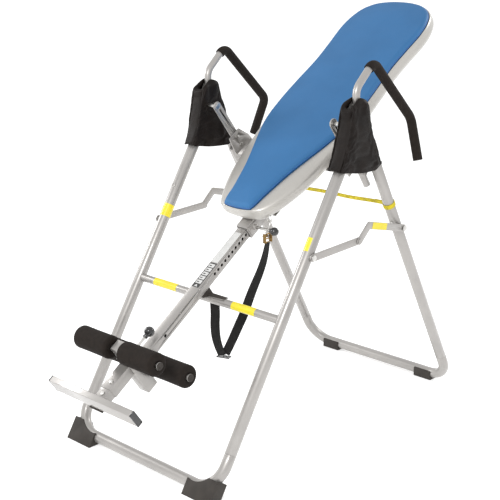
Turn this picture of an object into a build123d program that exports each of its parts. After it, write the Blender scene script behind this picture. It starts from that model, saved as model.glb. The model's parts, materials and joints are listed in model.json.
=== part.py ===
from build123d import *
from math import cos, hypot, pi, radians, sin, tan
import os

# Home inversion table, millimetres.  +X is the user's left-to-right width, +Y runs from the foot
# end to the head end, +Z is up.  Everything is laid out from the centre of the front floor tube
# (y = 0) and moved at the end, so that the origin is under the middle of the whole object.

os.makedirs("parts", exist_ok=True)

# ---- frame ------------------------------------------------------------------------------------
LEG_X = 340.0            # half spacing of the leg tubes
LEG_R = 19.0             # 38 mm leg tube
WALL = 1.5
FLOOR_TUBE_Z = 24.5      # floor tubes ride on 5.5 mm of rubber
BEND_R = 90.0            # corner bends of both U frames
CORNER_RUN = 125.0       # how far the bent floor tube runs up each leg
REAR_Y = 1260.0
APEX = (671.6, 1103.0)   # (y, z) of the hinge between the two U frames
FRONT_TOP_GAP = 150.0    # apex to the top end of the front leg tube
REAR_TOP_GAP = 96.0
CROSSBAR_UP = 570.0      # distance up the leg
CROSSBAR_R = 14.0

# ---- bed and shaft, in the bed's own slanted frame: x, u along the bed, n out of it ---------------
BED_TILT = 34.9
BED_Y, BED_Z = 618.0, 925.0      # where u = 0, n = 0: the plane of the cushion's rim
PIVOT_U, PIVOT_N = 96.2, 129.2   # pivot of the bed
ARM_X = 269.0
ARM_T = 6.0
PIN_R = 8.0
SHAFT_N = -106.0
SHAFT = 36.0                     # outside of the square shaft
SLEEVE = 48.0
LINER = 43.0
SLEEVE_LOW, SLEEVE_HIGH = -241.0, 230.0
CROSS_U = -852.0                 # square tube that crosses the shaft's foot end
CROSS = 45.0
AXLE_FRONT = (-860.0, -5.0)      # (u, n)
AXLE_REAR = (-801.0, -139.0)
AXLE_R = 9.0
ROLLER_R = 38.0
ROLLER_IN, ROLLER_OUT = 27.0, 187.0
PLATE_U, PLATE_N = -1024.0, -57.0
PLATE_HALF = 196.0
HEIGHT_PIN_U = -210.0
KNOB_X = 118.0

# ---- handles and side links ------------------------------------------------------------------
HANDLE_R = 12.5
GRIP_R = 16.5
GRIP_SPLAY = 385.0               # x of the flared lower end of each grip
LINK_FRONT = (417.6, 695.0)
LINK_MID = (647.0, 704.5)
LINK_KINK = (696.0, 749.0)
LINK_REAR = (890.7, 702.0)
LINK_T = 4.0
LINK_HALF = 12.5
LINK_FRONT_X = 363.0             # inner face of the front link
LINK_REAR_X = 367.4              # inner face of the rear link

S, C = sin(radians(BED_TILT)), cos(radians(BED_TILT))
BED = Plane(origin=(0, BED_Y, BED_Z), x_dir=(1, 0, 0), z_dir=(0, -S, C)).location


def bed_yz(u, n):
    """World y and z of a point of the slanted frame."""
    return BED_Y + u * C - n * S, BED_Z + u * S + n * C


PIVOT = bed_yz(PIVOT_U, PIVOT_N)
FRONT_LEN = hypot(APEX[0], APEX[1] - FLOOR_TUBE_Z)
FRONT_DIR = (APEX[0] / FRONT_LEN, (APEX[1] - FLOOR_TUBE_Z) / FRONT_LEN)
REAR_LEN = hypot(APEX[0] - REAR_Y, APEX[1] - FLOOR_TUBE_Z)
REAR_DIR = ((APEX[0] - REAR_Y) / REAR_LEN, (APEX[1] - FLOOR_TUBE_Z) / REAR_LEN)


def front_at(s, x=0.0):
    return (x, FRONT_DIR[0] * s, FLOOR_TUBE_Z + FRONT_DIR[1] * s)


def rear_at(s, x=0.0):
    return (x, REAR_Y + REAR_DIR[0] * s, FLOOR_TUBE_Z + REAR_DIR[1] * s)


CROSSBAR_YZ = front_at(CROSSBAR_UP)[1:]


# ---- small makers ----------------------------------------------------------------------------
def pipe(points, radius, wall=0.0, bends=None):
    """Round tube, or rod where wall is 0, along runs joined by arcs."""
    path = FilletPolyline(*points, radius=bends) if bends else Polyline(*points)
    ring = Circle(radius)
    if wall:
        ring = ring - Circle(radius - wall)
    return sweep(Plane(origin=path @ 0, z_dir=path % 0) * ring, path=path)


def rod(a, b, radius, bore=0.0):
    """Straight cylinder from a to b."""
    a, b = Vector(*a), Vector(*b)
    face = Circle(radius)
    if bore:
        face = face - Circle(bore)
    return extrude(Plane(origin=a, z_dir=(b - a).normalized()) * face, (b - a).length)


def cross_rod(x0, x1, yz, radius, bore=0.0):
    """Cylinder along X."""
    return rod((x0, *yz), (x1, *yz), radius, bore)


def side_plate(circles, x0, thickness, holes=()):
    """Plate in a plane of constant x: the hull of (y, z, r) circles, with round holes."""
    edges = []
    for y, z, r in circles:
        edges += (Pos(y, z) * Circle(r)).edges()
    face = make_hull(edges)
    for y, z, r in holes:
        face = face - Pos(y, z) * Circle(r)
    plane = Plane(origin=(x0, 0, 0), x_dir=(0, 1, 0), z_dir=(1, 0, 0))
    return plane.location * extrude(face, thickness)


def bed_box(x, u, n, centre, round_r=0.0):
    """Box in the slanted frame, x by u by n about a centre."""
    box = Box(x, u, n)
    if round_r:
        box = fillet(box.edges(), round_r)
    return BED * Pos(*centre) * box


def both(maker):
    """A left and a right copy as one node of separate solids."""
    return Compound(children=[maker(-1), maker(1)])


def outline(points, offset=0.0):
    """Closed smooth outline, mirrored about x = 0, from (u, half width) pairs, grown by offset."""
    mid = (points[0][0] + points[-1][0]) / 2
    stretch = 1 + 2 * offset / (points[-1][0] - points[0][0])
    right = [(w + offset, mid + (u - mid) * stretch) for u, w in points]
    left = [(-x, u) for x, u in reversed(right)]
    low = (0, right[0][1] - END_BULGE)
    high = (0, right[-1][1] + END_BULGE)
    curve = Spline(*([low] + right + [high] + left), periodic=True)
    return make_face(curve)


# ---- front frame -----------------------------------------------------------------------------
def front_leg(side):
    x = side * LEG_X
    return pipe([front_at(CORNER_RUN, x), front_at(FRONT_LEN - FRONT_TOP_GAP, x)], LEG_R, WALL)


def floor_tube(at):
    """Floor tube with its two corner bends, up to where the straight legs begin."""
    points = [at(CORNER_RUN, -LEG_X), at(0, -LEG_X), at(0, LEG_X), at(CORNER_RUN, LEG_X)]
    return pipe(points, LEG_R, WALL, BEND_R)


def floor_tube_space(at):
    points = [at(CORNER_RUN, -LEG_X), at(0, -LEG_X), at(0, LEG_X), at(CORNER_RUN, LEG_X)]
    return pipe(points, LEG_R + 0.1, 0, BEND_R)


def crossbar():
    bar = cross_rod(-LEG_X, LEG_X, CROSSBAR_YZ, CROSSBAR_R, CROSSBAR_R - WALL)
    for side in (-1, 1):
        bar -= rod(front_at(400, side * LEG_X), front_at(700, side * LEG_X), LEG_R + 0.05)
    return bar


FOOT_OUT = LEG_X + 11.0
FOOT_IN = 230.0
FOOT_UP = 36.0
FOOT_THICK = 48.0


def front_foot(side):
    """Moulded wedge that fills the outer corner of the front frame's bend."""
    plane = Plane(origin=(0, 0, FLOOR_TUBE_Z), x_dir=(1, 0, 0),
                  z_dir=(0, -FRONT_DIR[1], FRONT_DIR[0]))
    corner = make_face(Polyline(
        (FOOT_IN, -60), (FOOT_OUT, -60), (FOOT_OUT, FOOT_UP), (FOOT_IN, FOOT_UP), close=True))
    inner = Pos(LEG_X - BEND_R, BEND_R) * Circle(BEND_R - 8)
    wedge = plane.location * extrude(corner - inner, FOOT_THICK / 2, both=True)
    wedge = wedge & Pos(0, 0, 150) * Box(900, 300, 300)
    solids = (wedge - floor_tube_space(front_at)).solids()
    foot = max(solids, key=lambda s: s.volume)
    return foot if side > 0 else mirror(foot, about=Plane.YZ)


HANDLE_BOLT = (655.6, 1150.0)
CHEEK_T = 4.0
FRONT_CHEEK_X = 17.2     # inner face of each front cheek from the leg's mid-plane
REAR_CHEEK_X = 12.8


def front_hinge(side):
    """Clevis on top of the front leg: carries the apex bolt and the bed's pivot bush."""
    seat = FRONT_LEN - FRONT_TOP_GAP
    leg_mid = front_at(seat + 22)[1:]
    leg_circle = (*leg_mid, 21.0)
    apex_circle = (*APEX, 24.0)
    pivot_circle = (*PIVOT, 22.0)
    mount_circle = (*HANDLE_BOLT, 14.0)
    holes = [(*APEX, 6.06), (*HANDLE_BOLT, 5.1)]
    x_in = side * LEG_X - side * (FRONT_CHEEK_X + CHEEK_T / 2) - CHEEK_T / 2
    x_out = side * LEG_X + side * (FRONT_CHEEK_X + CHEEK_T / 2) - CHEEK_T / 2
    inner = side_plate([leg_circle, apex_circle, pivot_circle, mount_circle], x_in, CHEEK_T,
                       holes + [(*PIVOT, 12.0)])
    outer = side_plate([leg_circle, apex_circle, mount_circle], x_out, CHEEK_T, holes)
    base = Plane(origin=front_at(seat, side * LEG_X), x_dir=(1, 0, 0),
                 z_dir=(0, *FRONT_DIR)).location
    block = base * Pos(0, 0, 7) * Box(2 * (FRONT_CHEEK_X + 0.5), 2 * LEG_R - 2, 14)
    return inner + outer + block


BUSH_LEN = 12.0


def pivot_bush(side):
    face = side * (LEG_X - FRONT_CHEEK_X)
    start = face - side * (CHEEK_T + 4)
    body = cross_rod(start, start + side * BUSH_LEN, PIVOT, 12.0, PIN_R + 0.06)
    lip = cross_rod(start, start + side * 3.9, PIVOT, 16.0, 12.0)
    return body + lip


COVER_LOW = ((508, 962), (560, 942), (640, 928), (720, 926), (800, 962))
COVER_HIGH = ((722, 1158), (690, 1172), (640, 1166), (600, 1142))
COVER_HALF = 42.0
COVER_T = 2.5


def hinge_cover(side):
    """Fabric sleeve round the hinge: a tent, open underneath, with holes for tube and pivot."""
    plane = Plane(origin=(side * LEG_X, 0, 0), x_dir=(0, 1, 0), z_dir=(1, 0, 0)).location
    shell = make_face(Polyline(*COVER_LOW, *COVER_HIGH, close=True))
    inner = offset(shell, -COVER_T, kind=Kind.INTERSECTION)
    down = make_face(Polyline((500, 850), (810, 850), (790, 968), (720, 932), (640, 934),
                              (560, 948), (520, 968), close=True))
    tent = plane * extrude(shell, COVER_HALF, both=True)
    tent -= plane * extrude(inner, COVER_HALF - COVER_T, both=True)
    tent -= plane * extrude(down & shell, COVER_HALF - COVER_T, both=True)
    tent -= cross_rod(side * (LEG_X - COVER_HALF - 5), side * LEG_X, PIVOT, 20.0)
    tent -= rod((side * LEG_X, 646, 1100), (side * LEG_X, 644, 1230), HANDLE_R + 8)
    return max(tent.solids(), key=lambda s: s.volume)


REST_TOP = SHAFT_N - SHAFT / 2 - 0.5


def shaft_rest():
    """Saddle on the crossbar: a flange plate with a rubber block that the shaft lies on."""
    y, z = CROSSBAR_YZ
    cu = (y - BED_Y) * C + (z - BED_Z) * S
    cn = -(y - BED_Y) * S + (z - BED_Z) * C
    block = bed_box(34, 42, 40, (0, cu, REST_TOP - 20), 2.0)
    flange = Pos(22, y, z + CROSSBAR_R + 0.5) * Box(132, 26, 4)
    block -= Pos(0, y, z - 40) * Box(80, 90, 100)
    rest = block + flange
    return rest - cross_rod(-200, 200, CROSSBAR_YZ, CROSSBAR_R + 0.05)


ANCHOR = (16.0, CROSSBAR_YZ[0] + CROSSBAR_R, CROSSBAR_YZ[1])


def strap_anchor():
    """Loop and bolt that tie the strap to the back of the crossbar."""
    x, y, z = ANCHOR
    plate = Pos(x, y + 3.5, z - 4) * Box(42, 6, 26)
    bolt = rod((x, y + 6, z - 2), (x, y + 13, z - 2), 7)
    return (plate + bolt) - cross_rod(-200, 200, CROSSBAR_YZ, CROSSBAR_R + 0.05)


def link_bolt(side, yz, leg_a, leg_b, link_x, head_r=10.0):
    """Shouldered bolt through a leg: spacer, shank in the link, domed head."""
    x0 = side * (LEG_X + 4)
    shoulder = cross_rod(x0, side * (link_x - 0.3), yz, 9.0)
    shank = cross_rod(x0, side * (link_x + LINK_T + 0.3), yz, 5.0)
    head = cross_rod(side * (link_x + LINK_T + 0.3), side * (link_x + LINK_T + 5.3), yz, head_r)
    head = fillet(head.edges(), 1.2)
    return (shoulder + shank + head) - rod(leg_a, leg_b, LEG_R + 0.05)


def front_link_bolt(side):
    return link_bolt(side, LINK_FRONT, front_at(700, side * LEG_X), front_at(900, side * LEG_X),
                     LINK_FRONT_X)


def through_bolt(side, yz, radius, head_r):
    """Bolt through both front cheeks, with a head and a nut outside them."""
    reach = FRONT_CHEEK_X + CHEEK_T + 0.3
    x = side * LEG_X
    shank = cross_rod(x - reach, x + reach, yz, radius)
    ends = [cross_rod(x + k * reach, x + k * (reach + 6), yz, head_r) for k in (-1, 1)]
    return shank + ends[0] + ends[1]


def handle_bolt(side):
    return through_bolt(side, HANDLE_BOLT, 5.0, 9.0)


def rear_link_bolt(side):
    return link_bolt(side, LINK_REAR, rear_at(650, side * LEG_X), rear_at(900, side * LEG_X),
                     LINK_REAR_X)


HANDLE_TOP = (733.0, 1281.0)
HANDLE_BEND = (950.0, 1073.0)
HANDLE_END = (936.0, 938.0)


def handle_points(side):
    x = side * LEG_X
    return [(x, 662, 1128), (x, 642, 1197), (x, *HANDLE_TOP), (x, *HANDLE_BEND),
            (side * GRIP_SPLAY, *HANDLE_END)]


HANDLE_BENDS = [50.0, 30.0, 42.0]


def handle(side):
    tube = pipe(handle_points(side), HANDLE_R, 1.8, HANDLE_BENDS)
    return tube - cross_rod(side * LEG_X - 30, side * LEG_X + 30, HANDLE_BOLT, 5.1)


def grip(side):
    """Foam sleeve from the top bend to past the end of the tube."""
    x, y1, z1 = handle_points(side)[1]
    y2, z2 = HANDLE_TOP
    run = hypot(y2 - y1, z2 - z1)
    back = 31.0 / run
    points = handle_points(side)[2:]
    start = (x, y2 + (y1 - y2) * back, z2 + (z1 - z2) * back)
    sleeve = pipe([start] + points, GRIP_R, GRIP_R - HANDLE_R - 0.1, HANDLE_BENDS[1:])
    end = Vector(*points[-1])
    way = (end - Vector(*points[-2])).normalized()
    plug = rod(points[-1], tuple(end + way * 3.0), GRIP_R)
    return sleeve + plug


# ---- rear frame ------------------------------------------------------------------------------
def rear_leg(side):
    x = side * LEG_X
    return pipe([rear_at(CORNER_RUN, x), rear_at(REAR_LEN - REAR_TOP_GAP, x)], LEG_R, WALL)


CLIP_X, CLIP_LEN = 232.0, 76.0


def rear_foot(side):
    """Rubber saddle under the rear floor tube, with a lip that holds it."""
    block = Pos(side * CLIP_X, REAR_Y, 18) * Box(CLIP_LEN, 46, 36)
    block = fillet(block.edges().filter_by(Axis.X), 5)
    return block - floor_tube_space(rear_at)


def rear_hinge(side):
    """Clevis on top of the rear leg, inside the front one."""
    seat = REAR_LEN - REAR_TOP_GAP
    leg_circle = (*rear_at(seat + 18)[1:], 17.0)
    holes = [(*APEX, 6.0)]
    parts = []
    for k in (-1, 1):
        x0 = side * LEG_X + k * (REAR_CHEEK_X + CHEEK_T / 2) - CHEEK_T / 2
        parts.append(side_plate([leg_circle, (*APEX, 19.0)], x0, CHEEK_T, holes))
    base = Plane(origin=rear_at(seat, side * LEG_X), x_dir=(1, 0, 0),
                 z_dir=(0, *REAR_DIR)).location
    block = base * Pos(0, 0, 6) * Box(2 * (REAR_CHEEK_X + 0.5), 2 * LEG_R - 6, 12)
    return parts[0] + parts[1] + block


def apex_bolt(side):
    return through_bolt(side, APEX, 6.0, 10.5)


POST_X = 300.0
POST_R = 12.0
POST_LOW, POST_HIGH = (768.0, 864.0), (732.0, 918.0)


def hinge_post(side):
    """Short post beside each rear leg, on a tab and a stud welded to the leg."""
    post = rod((side * POST_X, *POST_LOW), (side * POST_X, *POST_HIGH), POST_R)
    y, z = rear_at(REAR_LEN - 182)[1:]
    tab = side_plate([(738, 908, 8), (y, z, 10)], side * (POST_X + 13.5) - 2.5, 5)
    stud = cross_rod(side * (POST_X + 13), side * (LEG_X - 10), (y, z), 8)
    leg = rod(rear_at(900, side * LEG_X), rear_at(1200, side * LEG_X), LEG_R + 0.05)
    return post + tab + (stud - leg)


TIE_UP = 873.0           # distance up the rear leg of the yellow tie
TIE_HALF = LEG_X - 20.0


def tie_strap():
    """Webbing pulled straight between the rear legs, with a loop round each leg."""
    y, z = rear_at(TIE_UP)[1:]
    band = Pos(0, y, z) * Box(2 * TIE_HALF, 3, 18)
    for side in (-1, 1):
        a, b = rear_at(TIE_UP - 12, side * LEG_X), rear_at(TIE_UP + 12, side * LEG_X)
        band += rod(a, b, LEG_R + 3.2)
    for side in (-1, 1):
        band -= rod(rear_at(700, side * LEG_X), rear_at(1000, side * LEG_X), LEG_R + 0.1)
    return band


# ---- side links ------------------------------------------------------------------------------
def link_front(side):
    x0 = min(side * LINK_FRONT_X, side * (LINK_FRONT_X + LINK_T))
    return side_plate([(*LINK_FRONT, LINK_HALF), (*LINK_MID, LINK_HALF)], x0, LINK_T,
                      [(*LINK_FRONT, 5.06)])


def link_rear(side):
    x0 = min(side * LINK_REAR_X, side * (LINK_REAR_X + LINK_T))
    lower = side_plate([(*LINK_MID, LINK_HALF), (*LINK_KINK, LINK_HALF)], x0, LINK_T)
    upper = side_plate([(*LINK_KINK, LINK_HALF), (*LINK_REAR, LINK_HALF)], x0, LINK_T)
    return lower + upper - cross_rod(side * 360, side * 380, LINK_REAR, 5.06)


def link_rivet(side):
    face = side * (LINK_REAR_X + LINK_T)
    head = cross_rod(face, face + side * 4, LINK_MID, 9.0)
    return fillet(head.edges(), 1.2)


# ---- bed -------------------------------------------------------------------------------------
END_BULGE = 4.0
CUSHION = [(-208, 40), (-190, 68), (-150, 76), (-100, 83), (-30, 101), (50, 129), (120, 155),
           (200, 177), (300, 183), (400, 180), (520, 172), (620, 176), (710, 182), (775, 174),
           (825, 152), (860, 110), (876, 55)]
SHELL_RIM = [(-212, 60), (-196, 100), (-160, 125), (-100, 150), (-40, 168), (40, 182), (130, 190),
             (230, 194), (320, 192), (420, 186), (520, 179), (620, 182), (715, 188), (780, 180),
             (832, 157), (868, 114), (884, 56)]
CUSHION_LOW, CUSHION_HIGH = -27.0, 9.0
SHELL_TOP, SHELL_BOTTOM = -28.0, -78.0
SHELL_DRAFT = 32.0
SHELL_WALL = 4.0


def bed_cushion():
    slab = extrude(outline(CUSHION), CUSHION_HIGH - CUSHION_LOW)
    return BED * Pos(0, 0, CUSHION_LOW) * slab


def shell_block(inset, top, bottom):
    rim = Pos(0, 0, top) * outline(SHELL_RIM, -inset)
    base = Pos(0, 0, bottom) * outline(SHELL_RIM, -inset - SHELL_DRAFT)
    return loft([rim, base])


def bed_shell():
    """Moulded tray under the cushion, open underneath."""
    tray = shell_block(0, SHELL_TOP, SHELL_BOTTOM)
    hollow = shell_block(SHELL_WALL, SHELL_TOP - SHELL_WALL, SHELL_BOTTOM)
    tray -= hollow
    ribs = Pos(0, PIVOT_U, SHELL_BOTTOM / 2 + SHELL_TOP / 2 - 2) * Box(
        250, 84, SHELL_TOP - SHELL_BOTTOM - 4)
    return BED * (tray + ribs)


BRACKET_T = 4.0
BRACKET_U = 112.0


def bed_bracket():
    """Folded cross plate under the shell, turned up at both ends to take the arms."""
    low = SHELL_BOTTOM - BRACKET_T
    x_end = ARM_X - ARM_T / 2
    strip = Pos(0, BRACKET_U, low + BRACKET_T / 2) * Box(2 * x_end, 84, BRACKET_T)
    up = []
    for side in (-1, 1):
        face = make_face(Polyline((62, low), (160, low), (154, -55), (128, -4), (70, -4),
                                  close=True))
        wall = Plane(origin=(side * x_end - (BRACKET_T if side > 0 else 0), 0, 0),
                     x_dir=(0, 1, 0), z_dir=(1, 0, 0)).location * extrude(face, BRACKET_T)
        for hole_n in (-22, -58):
            wall -= Pos(side * x_end, 104, hole_n) * Rot(0, 90, 0) * Cylinder(4.1, 30)
        up.append(wall)
    return BED * (strip + up[0] + up[1])


def bed_arm(side):
    """Flat bar with round ends between the bed bracket and the pivot."""
    x0 = side * ARM_X - ARM_T / 2
    holes = [(*bed_yz(104, -22), 4.1), (*bed_yz(104, -58), 4.1), (*PIVOT, PIN_R - 2)]
    return side_plate([(*PIVOT, 17), (*bed_yz(104, -62), 17)], x0, ARM_T, holes)


def pivot_pin(side):
    """Pivot pin riveted through the arm, with a collar behind the bush."""
    face = side * (ARM_X + ARM_T / 2)
    body = cross_rod(face, side * (LEG_X - 12), PIVOT, PIN_R)
    tail = cross_rod(face - side * ARM_T, face, PIVOT, PIN_R - 2)
    button = cross_rod(face - side * (ARM_T + 3), face - side * ARM_T, PIVOT, 12)
    return body + tail + button


def arm_bolts(side):
    inner = side * (ARM_X - ARM_T / 2)
    outer = side * (ARM_X + ARM_T / 2)
    bolts = []
    for n in (-22, -58):
        yz = bed_yz(104, n)
        bolt = cross_rod(inner - side * BRACKET_T, outer, yz, 4.0)
        bolt += cross_rod(outer, outer + side * 5, yz, 7.5)
        bolt += cross_rod(inner - side * (BRACKET_T + 6), inner - side * BRACKET_T, yz, 7.0)
        bolts.append(bolt)
    return bolts


def bed_bolts():
    return Compound(children=arm_bolts(-1) + arm_bolts(1))


def shaft_sleeve():
    """Square tube under the shell that the shaft slides in, with the height pin's boss."""
    length = SLEEVE_HIGH - SLEEVE_LOW
    mid = (SLEEVE_HIGH + SLEEVE_LOW) / 2
    tube = bed_box(SLEEVE, length, SLEEVE, (0, mid, SHAFT_N))
    tube -= bed_box(LINER, length + 2, LINER, (0, mid, SHAFT_N))
    boss = cross_rod(SLEEVE / 2, SLEEVE / 2 + 14, bed_yz(HEIGHT_PIN_U, SHAFT_N), 11)
    boss += bed_box(4, 60, 34, (SLEEVE / 2 + 2, HEIGHT_PIN_U + 4, SHAFT_N))
    bore = cross_rod(LINER / 2 - 1, SLEEVE / 2 + 15, bed_yz(HEIGHT_PIN_U, SHAFT_N), 5.06)
    top = SHAFT_N + SLEEVE / 2
    spacer = bed_box(30, 60, SHELL_BOTTOM - top, (0, -150, (SHELL_BOTTOM + top) / 2))
    return tube + boss - bore + spacer


def sleeve_liner():
    """Nylon liner between the sleeve and the shaft."""
    length = 150.0
    low = SLEEVE_LOW + 2
    ring = bed_box(LINER - 0.1, length, LINER - 0.1, (0, low + length / 2, SHAFT_N))
    ring -= bed_box(SHAFT + 0.5, length + 2, SHAFT + 0.5, (0, low + length / 2, SHAFT_N))
    return ring - cross_rod(0, 40, bed_yz(HEIGHT_PIN_U, SHAFT_N), 6)


def height_pin():
    yz = bed_yz(HEIGHT_PIN_U, SHAFT_N)
    return cross_rod(SHAFT / 2 + 0.6, KNOB_X - 12, yz, 5.0)


def height_knob():
    yz = bed_yz(HEIGHT_PIN_U, SHAFT_N)
    ball = Pos(KNOB_X, *yz) * Sphere(15)
    neck = cross_rod(KNOB_X - 20, KNOB_X - 10, yz, 8)
    return (ball + neck) - cross_rod(0, KNOB_X - 12, yz, 5.0)


RING = (92.0, 505.0, 742.0)


def tether_ring():
    """Wire ring that hangs from a tab under the shell."""
    x, y, z = RING
    loop = Plane(origin=(x, y + 4, z + 16), z_dir=(0, 1, 0)).location * Torus(12, 1.8)
    link = rod((x, y + 4, z + 28.5), (x, *bed_yz(-150, -81)), 1.8)
    tab = bed_box(36, 30, 3, (x - 6, -150, SHELL_BOTTOM - 1.5))
    return loop + link + tab


# ---- shaft and ankle holder ----------------------------------------------------------------------
SHAFT_HIGH = 60.0
HOLE_PITCH = 20.3
HOLES_UP, HOLES_DOWN = 6, 12     # above and below the height pin at rest
LOW_HOLE_U = -710.0


def main_shaft():
    """Square tube with the row of height holes in its right face."""
    low = CROSS_U + CROSS / 2
    mid = (SHAFT_HIGH + low) / 2
    tube = bed_box(SHAFT, SHAFT_HIGH - low, SHAFT, (0, mid, SHAFT_N))
    tube -= bed_box(SHAFT - 4, SHAFT_HIGH - low + 2, SHAFT - 4, (0, mid, SHAFT_N))
    places = [HEIGHT_PIN_U - i * HOLE_PITCH for i in range(-HOLES_UP, HOLES_DOWN)]
    for u in places + [LOW_HOLE_U]:
        tube -= cross_rod(SHAFT / 2 - 4, SHAFT / 2 + 2, bed_yz(u, SHAFT_N), 5.3)
    return tube


CROSS_LOW_N, CROSS_HIGH_N = -202.0, -38.0
SLIDE = 38.0


def cross_sleeve():
    """Square tube across the foot end of the shaft; the ankle bar slides in it."""
    mid = (CROSS_LOW_N + CROSS_HIGH_N) / 2
    span = CROSS_HIGH_N - CROSS_LOW_N
    tube = bed_box(CROSS, CROSS, span, (0, CROSS_U, mid))
    tube -= bed_box(SLIDE + 0.4, SLIDE + 0.4, span + 2, (0, CROSS_U, mid))
    boss = BED * Pos(0, CROSS_U + CROSS / 2 + 8, -56) * Rot(90, 0, 0) * Cylinder(9, 16)
    tube += boss
    return tube - BED * Pos(0, CROSS_U + CROSS / 2, -56) * Rot(90, 0, 0) * Cylinder(5.06, 80)


def foot_stem():
    """Stepped tube below the crossing: wide sleeve, then the narrower platform stem."""
    low = CROSS_U - CROSS / 2
    wide = bed_box(44, 96, 40, (0, low - 48, -82))
    wide -= bed_box(40, 98, 36, (0, low - 48, -82))
    return wide


def platform_stem():
    top = CROSS_U - CROSS / 2 - 40
    low = PLATE_U + 11
    stem = bed_box(39.6, top - low, 35.6, (0, (top + low) / 2, -82))
    return stem - bed_box(35, top - low + 2, 31, (0, (top + low) / 2, -82))


def stem_bolts():
    bolts = []
    for u in (-945.0, -990.0):
        head_n = -82 + (20 if u > -970 else 17.8)
        head = BED * Pos(4, u, head_n + 2) * Cylinder(7, 4)
        bolts.append(fillet(head.edges(), 0.8))
    return Compound(children=bolts)


PLATE_THICK, PLATE_WIDE = 22.0, 56.0


def foot_platform():
    """Flat rectangular tube across the foot end."""
    bar = bed_box(2 * PLATE_HALF, PLATE_THICK, PLATE_WIDE, (0, PLATE_U, PLATE_N))
    bar = fillet(bar.edges().filter_by(Axis.X), 2.5)
    return bar - bed_box(2 * PLATE_HALF + 2, PLATE_THICK - 4, PLATE_WIDE - 4,
                         (0, PLATE_U, PLATE_N))


def platform_cap(side):
    cap = bed_box(5, PLATE_THICK, PLATE_WIDE, (side * (PLATE_HALF + 2.5), PLATE_U, PLATE_N))
    return cap


def platform_pad():
    """Rubber bumper under the middle of the platform."""
    return bed_box(62, 26, 6, (0, PLATE_U - 2, PLATE_N - PLATE_WIDE / 2 - 3))


def axle(at):
    """Tube that two foam rollers turn on, with a retaining cap on each end."""
    end = ROLLER_OUT + 2
    pieces = [cross_rod(-end, end, bed_yz(*at), AXLE_R, AXLE_R - 2)]
    for side in (-1, 1):
        disc = cross_rod(side * end, side * (end + 4), bed_yz(*at), 13)
        pieces.append(fillet(disc.edges(), 1.2))
    return Compound(children=pieces)


def rear_axle():
    """Rear axle with the saddle that holds it under the shaft."""
    u, n = AXLE_REAR
    face_n = SHAFT_N - SHAFT / 2
    saddle = bed_box(30, 34, face_n - (n - 12), (0, u, (face_n + n - 12) / 2))
    saddle -= cross_rod(-40, 40, bed_yz(u, n), AXLE_R)
    return Compound(children=[axle(AXLE_REAR), saddle])


def ankle_bar():
    """Square bar in the crossing sleeve that carries the front axle."""
    u, n = AXLE_FRONT
    low, high = CROSS_LOW_N + 6, n + 14
    bar = bed_box(SLIDE, SLIDE, high - low, (0, CROSS_U, (low + high) / 2))
    bar -= bed_box(SLIDE - 4, SLIDE - 4, high - low - 8, (0, CROSS_U, (low + high) / 2 - 6))
    bar -= BED * Pos(0, CROSS_U + SLIDE / 2, -56) * Rot(90, 0, 0) * Cylinder(5.3, 8)
    return bar - cross_rod(-40, 40, bed_yz(u, n), AXLE_R)


PULL_N = -56.0
PULL_TOP = -739.0


def pull_rod():
    low = CROSS_U + SLIDE / 2 + 0.6
    return rod((0, *bed_yz(low, PULL_N)), (0, *bed_yz(PULL_TOP - 12, PULL_N)), 5.0)


def pull_knob():
    ball = BED * Pos(0, PULL_TOP, PULL_N) * Sphere(17)
    neck = rod((0, *bed_yz(PULL_TOP - 24, PULL_N)), (0, *bed_yz(PULL_TOP - 10, PULL_N)), 8.5)
    return (ball + neck) - rod((0, *bed_yz(-850, PULL_N)), (0, *bed_yz(PULL_TOP - 12, PULL_N)), 5)


def roller(side, at):
    return cross_rod(side * ROLLER_IN, side * ROLLER_OUT, bed_yz(*at), ROLLER_R, AXLE_R + 0.06)


# ---- tether strap ----------------------------------------------------------------------------
STRAP_R = 4.6            # a round tube with the same section as 38 mm webbing, folded
STRAP_LOW = [(16, 322, 491), (16, 325, 452), (14, 323.5, 410), (15, 326, 365), (18, 337, 322),
             (24, 346, 296)]
STRAP_HIGH = [(30, 357, 299), (38, 378, 338), (43, 405, 386), (48, 431, 430), (54, 448, 477),
              (64, 463, 524), (74, 480, 568), (83, 492, 613), (88, 499, 652), (90, 502, 676)]


def tangent_pipe(points, radius):
    """Tube on a free route: each arc is as large as its two runs allow."""
    bends = []
    for a, b, c in zip(points, points[1:], points[2:]):
        one, two = Vector(*b) - Vector(*a), Vector(*c) - Vector(*b)
        turn = one.get_angle(two)
        bends.append(0.45 * min(one.length, two.length) / tan(radians(turn / 2)))
    path = FilletPolyline(*points, radius=bends)
    tube = sweep(Plane(origin=path @ 0, z_dir=path % 0) * Circle(radius), path=path)
    print("route", round(path.length, 1), "tightest", round(min(bends), 1),
          "volume over section", round(tube.volume / (pi * radius ** 2), 1))
    return tube


def tether_slider():
    """Three-bar slide that both lengths of webbing pass through."""
    mid = (Vector(*STRAP_LOW[-1]) + Vector(*STRAP_HIGH[0])) * 0.5
    return Pos(mid.X, mid.Y, mid.Z - 8.5) * Box(48, 20, 6)


def tether_buckle():
    """Cam buckle at the top of the tether."""
    x, y, z = STRAP_HIGH[-1]
    body = Pos(x, y, z + 17) * Box(28, 8, 32)
    return fillet(body.edges().filter_by(Axis.Y), 3)


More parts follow.
